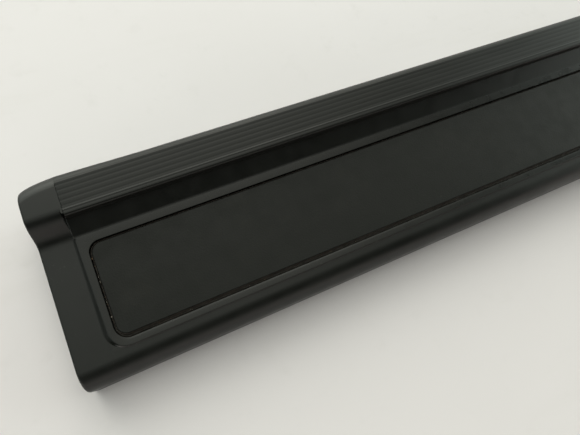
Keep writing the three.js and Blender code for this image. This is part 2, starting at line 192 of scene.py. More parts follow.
# ---- Mesh helpers ----
def new_object(name, mesh):
    obj = bpy.data.objects.new(name, mesh)
    bpy.context.scene.collection.objects.link(obj)
    return obj


def from_bmesh(name, bm):
    bmesh.ops.recalc_face_normals(bm, faces=bm.faces)
    mesh = bpy.data.meshes.new(name)
    bm.to_mesh(mesh)
    bm.free()
    return new_object(name, mesh)


def loft(name, loops, ring=False):
    """Skin over loops of as many points each. A ring joins its last loop to its first.

    Otherwise both ends are capped.
    """
    bm = bmesh.new()
    rows = [[bm.verts.new(p) for p in loop] for loop in loops]
    count = len(rows[0])
    pairs = list(zip(rows, rows[1:]))
    if ring:
        pairs.append((rows[-1], rows[0]))
    for a, b in pairs:
        for j in range(count):
            k = (j + 1) % count
            bm.faces.new((a[j], a[k], b[k], b[j]))
    if not ring:
        bm.faces.new(rows[0])
        bm.faces.new(rows[-1])
    bmesh.ops.remove_doubles(bm, verts=bm.verts, dist=1e-4)
    bmesh.ops.dissolve_degenerate(bm, edges=bm.edges, dist=1e-4)
    return from_bmesh(name, bm)


def box(name, lo, hi, bevel=0.0):
    bm = bmesh.new()
    bmesh.ops.create_cube(bm, size=1)
    size = [h - l for l, h in zip(lo, hi)]
    middle = [(h + l) / 2 for l, h in zip(lo, hi)]
    bmesh.ops.scale(bm, vec=size, verts=bm.verts)
    bmesh.ops.translate(bm, vec=middle, verts=bm.verts)
    if bevel:
        bmesh.ops.bevel(
            bm, geom=bm.edges[:], offset=bevel, segments=3, profile=0.5, affect="EDGES"
        )
    return from_bmesh(name, bm)


def lathe(name, outline, sides, x=0.0, y=0.0):
    """Turns (radius, height) points round the Z axis; a radius of 0 is a point on the axis."""
    bm = bmesh.new()
    rows = []
    for radius, height in outline:
        turns = [2 * math.pi * i / sides for i in range(sides if radius else 1)]
        rows.append(
            [
                bm.verts.new((x + radius * math.cos(t), y + radius * math.sin(t), height))
                for t in turns
            ]
        )
    closed = outline[0][0] != 0
    pairs = list(zip(rows, rows[1:]))
    if closed:
        pairs.append((rows[-1], rows[0]))
    for a, b in pairs:
        for i in range(sides):
            k = (i + 1) % sides
            corners = [a[i % len(a)], a[k % len(a)], b[k % len(b)], b[i % len(b)]]
            unique = list(dict.fromkeys(corners))
            if len(unique) > 2:
                bm.faces.new(unique)
    return from_bmesh(name, bm)


def combine(target, other, operation):
    """Boolean of two closed meshes; the other one is used up."""
    mod = target.modifiers.new("combine", "BOOLEAN")
    mod.operation = operation
    mod.solver = "MANIFOLD"
    mod.object = other
    graph = bpy.context.evaluated_depsgraph_get()
    made = bpy.data.meshes.new_from_object(target.evaluated_get(graph))
    target.modifiers.clear()
    old = target.data
    target.data = made
    bpy.data.meshes.remove(old)
    spent = other.data
    bpy.data.objects.remove(other)
    bpy.data.meshes.remove(spent)


def cut(target, other):
    combine(target, other, "DIFFERENCE")


def join(target, other):
    combine(target, other, "UNION")


def rounded(outline, radius, segments=4):
    """Rounds the corners of an open (radius, height) outline, apart from its ends."""
    made = [outline[0]]
    for before, corner, after in zip(outline, outline[1:], outline[2:]):
        p, c, q = Vector(before), Vector(corner), Vector(after)
        reach = min(radius, (p - c).length * 0.45, (q - c).length * 0.45)
        a = c + (p - c).normalized() * reach
        b = c + (q - c).normalized() * reach
        for i in range(segments + 1):
            t = i / segments
            made.append(
                tuple(a * (1 - t) ** 2 + c * 2 * t * (1 - t) + b * t**2)
            )
    made.append(outline[-1])
    return made


def smooth_step(low, high, value):
    t = max(0.0, min(1.0, (value - low) / (high - low)))
    return t * t * (3 - 2 * t)


def finish_mesh(obj, sharp_degrees=32.0):
    """Scales to metres and shades smooth, with the sharp edges kept."""
    mesh = obj.data
    mesh.transform(Matrix.Scale(MM, 4))
    bm = bmesh.new()
    bm.from_mesh(mesh)
    bmesh.ops.remove_doubles(bm, verts=bm.verts, dist=1e-8)
    limit = math.radians(sharp_degrees)
    for face in bm.faces:
        face.smooth = True
    for edge in bm.edges:
        edge.smooth = len(edge.link_faces) == 2 and edge.calc_face_angle(0.0) < limit
    bm.to_mesh(mesh)
    bm.free()
    weigh = obj.modifiers.new("weigh_normals", "WEIGHTED_NORMAL")
    weigh.keep_sharp = True
    weigh.weight = 80


# ---- Sill moulding ----
def taper_curve(steps=40):
    points = []
    for i in range(steps + 1):
        t = i / steps
        x = (
            (1 - t) ** 2 * (END - TAPER_LENGTH)
            + 2 * t * (1 - t) * (END - TAPER_LENGTH / 12)
            + t * t * END
        )
        y = (
            (1 - t) ** 2 * BACK
            + 2 * t * (1 - t) * (BACK - TAPER_DEPTH / 5)
            + t * t * (BACK - TAPER_DEPTH)
        )
        points.append((x, y))
    return points


TAPER = taper_curve()


def back_at(x):
    x = abs(x)
    for (x0, y0), (x1, y1) in zip(TAPER, TAPER[1:]):
        if x0 <= x <= x1 + 1e-9:
            return y0 + (y1 - y0) * (x - x0) / (x1 - x0)
    return BACK


def front_at(x):
    past = abs(x) - (END - CORNER_RADIUS)
    if past <= 0:
        return FRONT
    past = min(past, CORNER_RADIUS)
    return FRONT + CORNER_RADIUS - math.sqrt(CORNER_RADIUS**2 - past**2)


FLAT_STEPS, FOOT_STEPS, SLOPE_RUN_STEPS, BEND_STEPS, WALL_STEPS = 4, 7, 5, 5, 6
COVE_STEPS = FLAT_STEPS + FOOT_STEPS + SLOPE_RUN_STEPS + BEND_STEPS + WALL_STEPS
SOFT_FOOT = STRIP_FRONT - END_COVE_RUN
SOFT_TOP = STRIP_FRONT + END_COVE_OVERRUN


def bend(start, corner, goal, steps):
    """Points of a quadratic curve, without its last one."""
    a, c, b = Vector(start), Vector(corner), Vector(goal)
    return [
        tuple(a * (1 - i / steps) ** 2 + c * 2 * i / steps * (1 - i / steps) + b * (i / steps) ** 2)
        for i in range(steps)
    ]


def deep_cove():
    rise = (COVE_RUN - COVE_FOOT_BEND) * COVE_SLOPE
    foot = (COVE_FOOT, TREAD)
    foot_end = (COVE_FOOT + 2 * COVE_FOOT_BEND, TREAD + COVE_FOOT_BEND * COVE_SLOPE)
    wall_start = (RAIL_FACE - COVE_WALL_BEND, TREAD + rise - COVE_WALL_BEND * COVE_SLOPE)
    wall_foot = (RAIL_FACE, TREAD + rise + COVE_WALL_BEND)
    points = [
        (SOFT_FOOT + (COVE_FOOT - SOFT_FOOT) * i / FLAT_STEPS, TREAD)
        for i in range(FLAT_STEPS)
    ]
    points += bend(foot, (COVE_FOOT + COVE_FOOT_BEND, TREAD), foot_end, FOOT_STEPS)
    points += [
        tuple(Vector(foot_end).lerp(Vector(wall_start), i / SLOPE_RUN_STEPS))
        for i in range(SLOPE_RUN_STEPS)
    ]
    points += bend(wall_start, (RAIL_FACE, TREAD + rise), wall_foot, BEND_STEPS)
    top = TREAD + RAIL_RISE_Z
    points += [
        (RAIL_FACE, wall_foot[1] + (top - wall_foot[1]) * i / WALL_STEPS)
        for i in range(WALL_STEPS + 1)
    ]
    return points


def soft_cove():
    half = (SOFT_TOP - SOFT_FOOT) / 2
    points = []
    for i in range(COVE_STEPS + 1):
        t = i / COVE_STEPS
        y = (
            (1 - t) ** 3 * SOFT_FOOT
            + 3 * (1 - t) ** 2 * t * (SOFT_FOOT + half)
            + 3 * (1 - t) * t * t * (SOFT_TOP - half)
            + t**3 * SOFT_TOP
        )
        z = (3 * (1 - t) * t * t + t**3) * RAIL_RISE_Z
        points.append((y, TREAD + z))
    return points


RAIL_RISE_Z = RAIL_TOP - BLOCK_SET_DOWN - TREAD
DEEP, SOFT = deep_cove(), soft_cove()


def between(start, goal, distance):
    """Each point moves that far from start towards its goal, and no further."""
    made = []
    for a, b in zip(start, goal):
        a, b = Vector(a), Vector(b)
        length = (b - a).length
        made.append(tuple(a.lerp(b, min(1.0, distance / length) if length > 1e-6 else 0)))
    return made


def moulding_stations():
    """(x, cove points) along one end of the moulding, from its inside to its end face."""
    found = [(FRAME_END - 40, DEEP)]
    for i in range(5):
        k = i / 4
        found.append(
            (
                FRAME_END - RIDGE_FILLET * (1 - k),
                between(DEEP, SOFT, RIDGE_FILLET * (1 - math.sqrt(1 - k * k))),
            )
        )
    for i in range(6):
        turn = math.pi / 2 * i / 5
        found.append(
            (
                FRAME_END + 0.01 + RIDGE_ROUND * (1 - math.cos(turn)),
                between(SOFT, DEEP, RIDGE_ROUND * (1 - math.sin(turn))),
            )
        )
    start = FRAME_END + RIDGE_ROUND + 0.1
    later = [x for x, _ in TAPER[::3]]
    later += [
        END - CORNER_RADIUS + CORNER_RADIUS * math.sin(math.pi / 2 * i / 14)
        for i in range(15)
    ]
    later += [
        END - END_ROUND + END_ROUND * math.sin(math.pi / 2 * i / 6) for i in range(7)
    ]
    kept = []
    for x in sorted(later):
        if x > start and (not kept or x - kept[-1] > 0.015):
            kept.append(x)
    kept[-1] = END
    return found + [(x, SOFT) for x in kept]


def moulding_loop(x, cove):
    front, back = front_at(x), back_at(x) - BLOCK_SET_IN
    past = max(0.0, abs(x) - (END - END_ROUND))
    drop = END_ROUND - math.sqrt(max(0.0, END_ROUND**2 - past**2))
    top = RAIL_TOP - BLOCK_SET_DOWN
    profile = []
    for i in range(25):
        turn = math.pi - math.pi / 2 * i / 24
        profile.append(
            (
                front + NOSE_RADIUS + NOSE_RADIUS * math.cos(turn),
                TREAD - NOSE_RADIUS + NOSE_RADIUS * math.sin(turn),
            )
        )
    profile += cove
    wide = LIP_WIDTH * BLOCK_LIP_SHARE
    lip = back - wide
    for i in range(15):
        t = i / 14
        profile.append(
            (
                (1 - t) ** 2 * lip + 2 * t * (1 - t) * (back - wide * 0.42) + t * t * back,
                top - (2 * t * (1 - t) * 0.06 + t * t) * (LIP_DROP - END_LIP_LIFT),
            )
        )
    points = [(x, front, 0.0)]
    points += [(x, y, z - drop) for y, z in profile]
    points.append((x, back, 0.0))
    return points


def cavity():
    """Inside of the shell, with round inner edges."""
    round_ = NOSE_RADIUS / 3
    loops = []
    end = END - WALL
    xs = [
        end - CORNER_RADIUS / 2 * (1 - math.sin(math.pi / 2 * i / 6)) for i in range(7)
    ]
    xs = sorted([-x for x in xs]) + [-END + TAPER_LENGTH, END - TAPER_LENGTH] + xs
    for x in sorted(xs):
        past = max(0.0, abs(x) - (end - CORNER_RADIUS / 2))
        r = CORNER_RADIUS / 2
        front = FRONT + WALL + r - math.sqrt(max(0.0, r * r - past * past))
        back = back_at(x) - WALL
        loop = [(front, -1.0)]
        for i in range(7):
            turn = math.pi - math.pi / 2 * i / 6
            loop.append(
                (
                    front + round_ + round_ * math.cos(turn),
                    CEILING - round_ + round_ * math.sin(turn),
                )
            )
        loop += [
            (RAIL_FACE + WALL, CEILING),
            (RAIL_FACE + WALL, RAIL_CEILING),
            (back, RAIL_CEILING),
            (back, -1.0),
        ]
        loops.append([(x, y, z) for y, z in loop])
    return loft("cavity", loops)


def rectangle_path(half, front, back, front_radius, back_radius, steps=12):
    """Points and outward normals round a rectangle with round corners, from the left side to the front and on round."""
    corners = [
        ((-half + front_radius, front + front_radius), front_radius, math.pi),
        ((half - front_radius, front + front_radius), front_radius, 1.5 * math.pi),
        ((half - back_radius, back - back_radius), back_radius, 0.0),
        ((-half + back_radius, back - back_radius), back_radius, 0.5 * math.pi),
    ]
    path = []
    for index, ((cx, cy), radius, start) in enumerate(corners):
        for i in range(steps + 1):
            turn = start + math.pi / 2 * i / steps
            n = Vector((math.cos(turn), math.sin(turn)))
            path.append((Vector((cx, cy)) + n * radius, n, index, i / steps))
    return path


def upright(name, path, low, high):
    return loft(
        name,
        [
            [(p.x, p.y, low) for p, _, _, _ in path],
            [(p.x, p.y, high) for p, _, _, _ in path],
        ],
    )


SIDE_SLOPE = (1.4, 1.2)
FACE_SLOPE = (0.25, 0.55)
FRONT_LEAN = 0.3
FRONT_GAP = 0.7
SLOPE_STEPS = 12


def frame_band():
    """Raised band round the recess, with a round inner edge and a slight crown.

    Its outer slope is crisp at the front and soft at the ends.
    """
    inner = rectangle_path(
        RECESS_HALF, RECESS_FRONT, RECESS_BACK, RECESS_RADIUS, RECESS_RADIUS
    )
    outer = rectangle_path(FRAME_END, FRAME_FRONT, FRAME_BACK, FRAME_RADIUS, 0.6)
    base = FLOOR_OF_RECESS - 0.3
    top = TREAD + BAND_RISE
    loops = []
    for (a, n, corner, t), (b, _, _, _) in zip(inner, outer):
        frontness = max(0.0, -n.y)
        a = Vector((a.x, a.y - FRONT_GAP * frontness))
        softness = {
            0: 1 - smooth_step(0.15, 0.75, t),
            1: smooth_step(0.25, 0.85, t),
            2: 1 - smooth_step(0.3, 0.7, t),
            3: smooth_step(0.3, 0.7, t),
        }[corner]
        width = (b - a).length
        along = (b - a).normalized()
        inside = FACE_SLOPE[0] + (SIDE_SLOPE[0] - FACE_SLOPE[0]) * softness
        outside = FACE_SLOPE[1] + (SIDE_SLOPE[1] - FACE_SLOPE[1]) * softness
        if corner in (2, 3) and softness < 0.5:
            outside = 0.05
        section = [(0.0, base)]
        flat_end = width - inside
        lean = FRONT_LEAN * frontness
        low = top - BAND_CROWN - lean
        for i in range(6):
            turn = math.pi / 2 * i / 5
            section.append(
                (BAND_EDGE * (1 - math.cos(turn)), low - BAND_EDGE * (1 - math.sin(turn)))
            )
        for i in range(1, 7):
            v = BAND_EDGE + (flat_end - BAND_EDGE) * i / 7
            share = 2 * v / width - 1
            slant = lean * (1 - v / flat_end)
            section.append((v, top - slant - BAND_CROWN * share * share))
        crest = top - BAND_CROWN * (2 * flat_end / width - 1) ** 2
        foot = TREAD - 0.06
        for i in range(SLOPE_STEPS + 1):
            s = i / SLOPE_STEPS
            v = flat_end + (inside + outside) * s
            section.append((v, foot + (crest - foot) * (1 - smooth_step(0, 1, s))))
        section.append((width + outside, base))
        loops.append(
            [
                (
                    a.x + along.x * min(v, width) + n.x * max(0.0, v - width),
                    a.y + along.y * min(v, width) + n.y * max(0.0, v - width),
                    z,
                )
                for v, z in section
            ]
        )
    return loft("band", loops, ring=True)


def clip_tower(index):
    """Tower that holds a clip's head; outer towers open towards their own end, the middle one to the front."""
    middle = index == len(CLIPS) // 2
    travel = 0.0 if middle else CLIP_FLOAT
    side = HEAD_RADIUS + FIT_GAP
    shut = -(HEAD_RADIUS + travel + FIT_GAP)
    slot = NECK_RADIUS + NECK_CLEARANCE
    tower = box(
        "tower",
        (shut - TOWER_WALL, -side - TOWER_WALL, PLATE_BASE),
        (-shut, side + TOWER_WALL, CEILING + 0.9),
        RIB_EDGE,
    )
    cut(tower, box("pocket", (shut, -side, PLATE_TOP), (2 - shut, side, CEILING)))
    end = lathe(
        "slot_end",
        [(0, PLATE_BASE - 1), (slot, PLATE_BASE - 1), (slot, CEILING - 0.01), (0, CEILING - 0.01)],
        40,
        -travel,
    )
    slot_lo, slot_hi = (-travel, -slot, PLATE_BASE - 1), (2 - shut, slot, CEILING - 0.01)
    join(end, box("slot_run", slot_lo, slot_hi))
    cut(tower, end)
    for sign in (-1, 1):
        peg = lathe(
            "peg",
            [(0, PLATE_BASE), (DETENT_RADIUS, PLATE_BASE), (DETENT_RADIUS, PLATE_TOP), (0, PLATE_TOP)],
            24,
            travel + NECK_RADIUS + FIT_GAP + DETENT_RADIUS,
            sign * (slot - DETENT_REACH + DETENT_RADIUS),
        )
        join(tower, peg)
    turn = -90 if middle else 180 if index < len(CLIPS) // 2 else 0
    tower.data.transform(
        Matrix.Translation((CLIP_X[index], CLIP_Y, 0))
        @ Matrix.Rotation(math.radians(turn), 4, "Z")
    )
    return tower


clip_lo, clip_hi = mm_box("locating_clip")
seal_lo, _ = mm_box("clip_seal_3")
HEAD_RADIUS = (clip_hi.x - clip_lo.x) / 2 - 0.5
COLLAR_RADIUS = (clip_hi.x - clip_lo.x) / 2
HEAD_THICKNESS = 1.4
PLATE_THICKNESS = 1.6
COLLAR_THICKNESS = 1.0
NECK_RADIUS = 2.6
ROOT_RADIUS = 2.8
BARB_RADIUS = 4.2
BARB_RUN = 2.2
TIP_RADIUS = 1.8
CLIP_SPLIT = 1.4
HEAD_TOP = clip_hi.z
HEAD_BASE = HEAD_TOP - HEAD_THICKNESS
PLATE_TOP = HEAD_BASE - FIT_GAP
PLATE_BASE = PLATE_TOP - PLATE_THICKNESS
COLLAR_TOP = PLATE_BASE - FIT_GAP
COLLAR_BASE = COLLAR_TOP - COLLAR_THICKNESS


def seam_cutter(sign):
    """Rounds the edge of an end block along the seam of the strip."""
    top, r = RAIL_TOP - BLOCK_SET_DOWN, SEAM_ROUND
    outline = [(POCKET_HALF - 1, top + 1), (POCKET_HALF + r, top + 1)]
    for i in range(7):
        turn = math.pi / 2 * i / 6
        outline.append((POCKET_HALF + r * (1 - math.sin(turn)), top - r * (1 - math.cos(turn))))
    outline.append((POCKET_HALF - 1, top - r))
    return loft(
        "seam",
        [[(sign * x, y, z) for x, z in outline] for y in (COVE_FOOT + 3, BACK + 1)],
    )


def sill_moulding():
    right = moulding_stations()
    stations = [(-x, c) for x, c in reversed(right)] + right
    shell = loft("sill_moulding_fine", [moulding_loop(x, c) for x, c in stations])
    cut(shell, cavity())
    wide = rectangle_path(
        RECESS_HALF + 0.4,
        RECESS_FRONT - FRONT_GAP - 0.4,
        RECESS_BACK + 0.4,
        RECESS_RADIUS + 0.4,
        RECESS_RADIUS + 0.4,
    )
    cut(shell, upright("recess", wide, FLOOR_OF_RECESS, RAIL_TOP))
    join(shell, frame_band())
    cut(
        shell,
        box("pocket", (-POCKET_HALF, COVE_FOOT + 3, SEAT), (POCKET_HALF, BACK + 1, RAIL_TOP + 1)),
    )
    for sign in (-1, 1):
        cut(shell, seam_cutter(sign))
    skirt_room = SKIRT_BASE - FIT_GAP
    cut(
        shell,
        box("rebate", (-POCKET_HALF, RAIL_BACK, skirt_room), (POCKET_HALF, BACK + 1, SEAT + 1)),
    )
    for x in SNAP_X:
        half = SNAP_THICKNESS / 2 + FIT_GAP
        reach = SNAP_LENGTH / 2 + FIT_GAP
        slot_lo = (x - reach, SNAP_Y - half - SNAP_HOOK, TREAD)
        cut(shell, box("slot", slot_lo, (x + reach, SNAP_Y + half, RAIL_TOP)))
    for x in RIB_X:
        left, right = x - RIB_THICKNESS / 2, x + RIB_THICKNESS / 2
        for front, back, top in (
            (FRONT + RIB_FRONT_INSET, rear_tape_lo.y - 2 * FIT_GAP, CEILING + 1),
            (RAIL_FACE + WALL / 2, RAIL_BACK - SKIRT_WALL / 2, RAIL_CEILING + 1),
        ):
            join(shell, box("rib", (left, front, CEILING - RIB_DEPTH), (right, back, top), RIB_EDGE))
    for index in range(len(CLIPS)):
        join(shell, clip_tower(index))
    finish_mesh(shell)
    return shell


# ---- Ribbed strip ----
def strip_profile(lift=0.0):
    """Open outline over the strip, from the foot of its back skirt to the foot of its front skirt."""
    rib_top = RAIL_TOP - RIB_SET_DOWN
    points = [(BACK, SKIRT_BASE), (BACK, SKIRT_BASE + 0.4)]
    lip = BACK - LIP_WIDTH
    lip_top = rib_top - LIP_STEP
    for i in range(13):
        t = i / 12
        points.append(
            (
                (1 - t) ** 2 * BACK + 2 * t * (1 - t) * (BACK - LIP_WIDTH / 3) + t * t * lip,
                lip_top - (1 - t) * (1 - t + 0.4 * t) * (LIP_DROP - lift - RIB_SET_DOWN - LIP_STEP),
            )
        )
    first = BACK - LIP_WIDTH - GROOVE_FROM_LIP
    last = first - (GROOVE_COUNT - 1) * GROOVE_PITCH
    start, stop = lip - 0.1, last - GROOVE_PITCH * 0.42
    steps = 130
    for i in range(steps + 1):
        y = start + (stop - start) * i / steps
        phase = (first - y) / GROOVE_PITCH
        wave = 0.5 + 0.5 * math.cos(2 * math.pi * phase)
        if phase < -0.5:
            wave = 0.0
        level = rib_top - LIP_STEP * (1 - smooth_step(0.0, LIP_STEP_RUN, start - y))
        points.append((y, level - GROOVE_DEPTH * wave**2.2))
    low = points[-1][1]
    crest = STRIP_FRONT + BEAD_CREST
    valley = STRIP_FRONT + BEAD_VALLEY
    shoulder = STRIP_FRONT + BEAD_SHOULDER
    for i in range(1, 9):
        s = i / 8
        points.append(
            (stop + (crest - stop) * s, low + (RAIL_TOP - low) * smooth_step(0, 1, s))
        )
    for i in range(1, 13):
        s = i / 12
        y = crest + (shoulder - crest) * s
        dip = math.exp(-(((y - valley) / 0.4) ** 2))
        points.append((y, RAIL_TOP - BEAD_DIP * dip - 0.05 * s * s))
    edge_z = points[-1][1]
    run = shoulder - STRIP_FRONT
    for i in range(1, 17):
        turn = math.pi / 2 + math.pi / 2 * i / 16
        points.append(
            (
                shoulder + run * math.cos(turn),
                edge_z - BEAD_FALL + BEAD_FALL * math.sin(turn),
            )
        )
    points += [(STRIP_FRONT, SKIRT_BASE + 0.25), (STRIP_FRONT + 0.25, SKIRT_BASE)]
    return points


def ribbed_strip():
    base = SEAT + FIT_GAP
    under = [
        (RAIL_FACE - FIT_GAP, SKIRT_BASE),
        (RAIL_FACE - FIT_GAP, base),
        (RAIL_BACK + FIT_GAP, base),
        (RAIL_BACK + FIT_GAP, SKIRT_BASE),
    ]
    edge = 0.12
    half = POCKET_HALF - SEAM
    stations = [half - edge + edge * math.sin(math.pi / 2 * i / 6) for i in range(7)]
    stations = [half - END_LIP_RUN * (1 - i / 8) for i in range(8)] + stations
    stations = [-x for x in reversed(stations)] + stations
    loops = []
    for x in stations:
        over = strip_profile(END_LIP_LIFT * smooth_step(half - END_LIP_RUN, half, abs(x)))
        past = max(0.0, abs(x) - (half - edge))
        drop = edge - math.sqrt(max(0.0, edge**2 - past**2))
        loop = []
        for y, z in over:
            inward = drop if y < STRIP_FRONT + 1 else -drop if y > BACK - 1 else 0.0
            loop.append((x, y + inward, z - (drop if z > SKIRT_BASE + 0.5 else 0.0)))
        loop += [(x, y, z) for y, z in under]
        loops.append(loop)
    strip = loft("ribbed_strip_fine", loops)
    catch = RAIL_CEILING - FIT_GAP
    front, back = SNAP_Y - SNAP_THICKNESS / 2, SNAP_Y + SNAP_THICKNESS / 2
    leg = [
        (back, SEAT + STRIP_THICKNESS / 2),
        (front, SEAT + STRIP_THICKNESS / 2),
        (front, catch),
        (front - 2 * SNAP_HOOK, catch),
        (front - 2 * SNAP_HOOK + 0.25, catch - 0.3),
        (front - 0.2, catch - 2.5 * SNAP_HOOK + 0.1),
        (front, catch - 2.5 * SNAP_HOOK),
        (back - 0.3, catch - 2.5 * SNAP_HOOK),
        (back, catch - 2.5 * SNAP_HOOK + 0.3),
    ]
    for x in SNAP_X:
        ends = (x - SNAP_LENGTH / 2, x + SNAP_LENGTH / 2)
        join(strip, loft("leg", [[(e, y, z) for y, z in leg] for e in ends]))
    finish_mesh(strip)
    return strip


# ---- Inlay and adhesive ----
def inlay_plate():
    radius = RECESS_RADIUS - INLAY_GAP
    edge = 0.22
    levels = [(0.0, inlay_lo.z)]
    for i in range(6):
        turn = math.pi / 2 * i / 5
        levels.append((edge * (1 - math.cos(turn)), inlay_hi.z - edge * (1 - math.sin(turn))))
    loops = []
    for inset, z in levels:
        path = rectangle_path(
            inlay_hi.x - inset,
            inlay_lo.y + inset,
            inlay_hi.y - inset,
            radius - inset,
            radius - inset,
        )
        loops.append([(p.x, p.y, z) for p, _, _, _ in path])
    plate = loft("inlay_plate_fine", loops)
    finish_mesh(plate)
    return plate


def wander(seed, count, low, high, share=0.5):
    """Smooth random values round a closed run."""
    dice = random.Random(seed)
    raw = [dice.random() for _ in range(count)]
    for _ in range(2):
        raw = [
            raw[i] * (1 - share) + (raw[i - 1] + raw[(i + 1) % count]) * share / 2
            for i in range(count)
        ]
    return [low + (high - low) * v for v in raw]


def dense_path(half, front, back, radius, spacing):
    """Evenly spaced points and outward normals round a rectangle with round corners."""
    coarse = rectangle_path(half, front, back, radius, radius)
    points = []
    for (p, n, _, _), (q, m, _, _) in zip(coarse, coarse[1:] + coarse[:1]):
        length = (q - p).length
        count = max(1, int(length / spacing))
        for i in range(count):
            t = i / count
            points.append((p.lerp(q, t), n.lerp(m, t).normalized()))
    return points


def adhesive():
    """Film under the inlay, with an uneven bead squeezed out into the open line."""
    inset = INLAY_GAP * 0.5
    path = dense_path(
        RECESS_HALF - inset, RECESS_FRONT + inset, RECESS_BACK - inset, RECESS_RADIUS - inset, 1.1
    )
    count = len(path)
    height = wander(SEED, count, 0.25, 1.0, 0.35)
    shift = wander(SEED + 1, count, -0.12, 0.2, 0.3)
    loops = []
    for index, (p, n) in enumerate(path):
        front_share = max(0.0, -n.y) + 0.55 * max(0.0, -n.x) + 0.25 * max(0.0, n.x) + 0.1 * max(0.0, n.y)
        rise = film_hi.z - 0.1 + 0.75 * height[index] * min(1.0, front_share + 0.15)
        centre = shift[index]
        frontness = max(0.0, -n.y)
        section = [
            (-1.6, film_lo.z),
            (0.34, film_lo.z),
            (0.36, film_lo.z + 0.25),
            (0.30 + 0.3 * centre, 0.5 * (film_lo.z + rise) + 0.1),
            (0.12 + centre * 0.6, rise),
            (-0.1 + centre * 0.6, rise - 0.06),
            (-0.32, 0.55 * (film_hi.z + rise)),
            (-0.42, film_hi.z),
            (-1.6, film_hi.z),
        ]
        reach = [v + FRONT_GAP * frontness * max(0.0, min(1.0, (v + 0.4) / 0.7)) for v, _ in section]
        loops.append(
            [(p.x + n.x * v, p.y + n.y * v, z) for v, (_, z) in zip(reach, section)]
        )
    bead = loft("adhesive_bead", loops, ring=True)
    inner = dense_path(
        RECESS_HALF - inset - 1.2,
        RECESS_FRONT + inset + 1.2,
        RECESS_BACK - inset - 1.2,
        RECESS_RADIUS - inset - 1.2,
        4,
    )
    film = loft(
        "inlay_adhesive_fine",
        [
            [(p.x, p.y, film_lo.z + 0.02) for p, _ in inner],
            [(p.x, p.y, film_hi.z - 0.02) for p, _ in inner],
        ],
    )
    join(film, bead)
    finish_mesh(film, 60)
    return film


def crumbs():
    """Loose crumbs lying in the open line round the inlay, mostly at its left end."""
    dice = random.Random(SEED + 5)
    line_x = -(RECESS_HALF - INLAY_GAP / 2)
    line_front = RECESS_FRONT - FRONT_GAP / 2 + INLAY_GAP / 2
    spots = [(line_x + 0.05, RECESS_BACK - 6.5, 0.42), (line_x, RECESS_FRONT + 9.0, 0.36)]
    for _ in range(26):
        spots.append(
            (
                line_x + dice.uniform(-0.15, 0.15),
                dice.uniform(RECESS_FRONT + 5, RECESS_BACK - 5),
                dice.uniform(0.08, 0.2),
            )
        )
    for _ in range(60):
        along = dice.uniform(-RECESS_HALF + 6, RECESS_HALF - 6)
        spots.append((along, line_front + dice.uniform(-0.3, 0.2), dice.uniform(0.07, 0.2)))
    bm = bmesh.new()
    for x, y, size in spots:
        made = bmesh.ops.create_icosphere(bm, subdivisions=2, radius=size)["verts"]
        stretch = [dice.uniform(0.6, 1.2) for _ in range(3)]
        turn = Matrix.Rotation(dice.uniform(0, math.pi), 4, "Z") @ Matrix.Rotation(
            dice.uniform(0, math.pi), 4, "X"
        )
        for vert in made:
            share = 1 + dice.uniform(-0.16, 0.16)
            bump = Vector([c * k * share for c, k in zip(vert.co, stretch)])
            vert.co = turn @ bump + Vector((x, y, film_hi.z + 0.35 + size * 0.6))
    heap = from_bmesh("crumbs", bm)
    finish_mesh(heap, 70)
    return heap


def crumb_material():
    n = Nodes("crumbs")
    colour = n.colour_mix(
        n.span(n.noise(320, 3), 0.42, 0.6), rgb(0.12, 0.075, 0.045), rgb(0.42, 0.40, 0.35)
    )
    rough = n.span(n.noise(900, 3), 0.3, 0.7, 0.75, 0.95)
    return n.output(colour, rough, n.bump(n.noise(4200, 4), 0.00005, 0.9))


# ---- Clips, washers, tapes and pads ----
def clip_mesh(name, x):
    outline = rounded(
        [
            (0, clip_lo.z),
            (TIP_RADIUS, clip_lo.z),
            (BARB_RADIUS, seal_lo.z - BARB_RUN),
            (ROOT_RADIUS, seal_lo.z),
            (ROOT_RADIUS, COLLAR_BASE),
            (COLLAR_RADIUS, COLLAR_BASE),
            (COLLAR_RADIUS, COLLAR_TOP),
            (NECK_RADIUS, COLLAR_TOP),
            (NECK_RADIUS, HEAD_BASE),
            (HEAD_RADIUS, HEAD_BASE),
            (HEAD_RADIUS, HEAD_TOP),
            (0, HEAD_TOP),
        ],
        0.3,
    )
    clip = lathe(name, outline, 48)
    half = CLIP_SPLIT / 2
    cut(clip, box("split", (-half, -6, -1), (half, 6, seal_lo.z)))
    for sign in (-1, 1):
        cut(
            clip,
            box(
                "flat",
                (-6, sign * 3.1 if sign > 0 else -6, -1),
                (6, 6 if sign > 0 else -3.1, seal_lo.z - 0.4),
            ),
        )
    dish = lathe(
        "dish",
        [(0, HEAD_TOP - 0.45), (1.6, HEAD_TOP - 0.4), (2.3, HEAD_TOP), (2.3, HEAD_TOP + 1), (0, HEAD_TOP + 1)],
        36,
    )
    cut(clip, dish)
    clip.data.transform(Matrix.Translation((x, CLIP_Y, 0)))
    finish_mesh(clip)
    return clip


def seal_mesh(name, node):
    lo, hi = mm_box(node)
    outer = (hi.x - lo.x) / 2
    bore = ROOT_RADIUS + FIT_GAP
    outline = [
        (bore, hi.z - 0.15),
        (bore, lo.z + 0.45),
        (bore + 0.15, lo.z + 0.3),
        (4.7, lo.z + 0.3),
        (4.85, lo.z + 0.12),
        (5.05, lo.z),
        (outer - 0.3, lo.z),
        (outer - 0.08, lo.z + 0.12),
        (outer, lo.z + 0.35),
        (outer, hi.z - 0.35),
        (outer - 0.08, hi.z - 0.1),
        (outer - 0.3, hi.z),
        (bore + 0.15, hi.z),
    ]
    seal = lathe(name, outline, 64, (lo.x + hi.x) / 2, (lo.y + hi.y) / 2)
    finish_mesh(seal, 50)
    return seal


